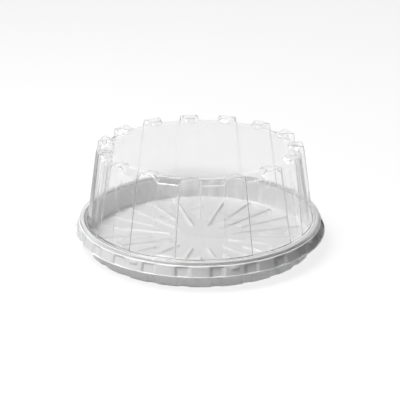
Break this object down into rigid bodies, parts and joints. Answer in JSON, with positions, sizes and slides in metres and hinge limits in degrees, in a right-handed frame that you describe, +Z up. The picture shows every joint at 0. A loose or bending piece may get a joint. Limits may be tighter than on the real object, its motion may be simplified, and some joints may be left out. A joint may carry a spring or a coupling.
{
  "type": "cake container",
  "caption": "Round disposable cake container: white ribbed tray with a flared rim, and a clear fluted dome lid that caps the rim and lifts straight off.",
  "frame": {"origin": "middle of the tray's flat underside, on the table", "axes": "+Z up through the middle of the roof, -Y towards the viewer of the picture, +X to the viewer's right"},
  "size_m": [0.2804, 0.2804, 0.1119],
  "materials": {
    "white_tray": "satin white polystyrene sheet",
    "clear_lid": "crystal clear polyester sheet"
  },
  "bodies": {
    "base": {"base_tray": "white_tray"},
    "lid": {"dome_lid": "clear_lid"}
  },
  "joints": [
    {"name": "lid_lift", "type": "slide", "parent": "base", "child": "lid", "axis": [0, 0, 1], "range_m": [0, 0.15]}
  ]
}
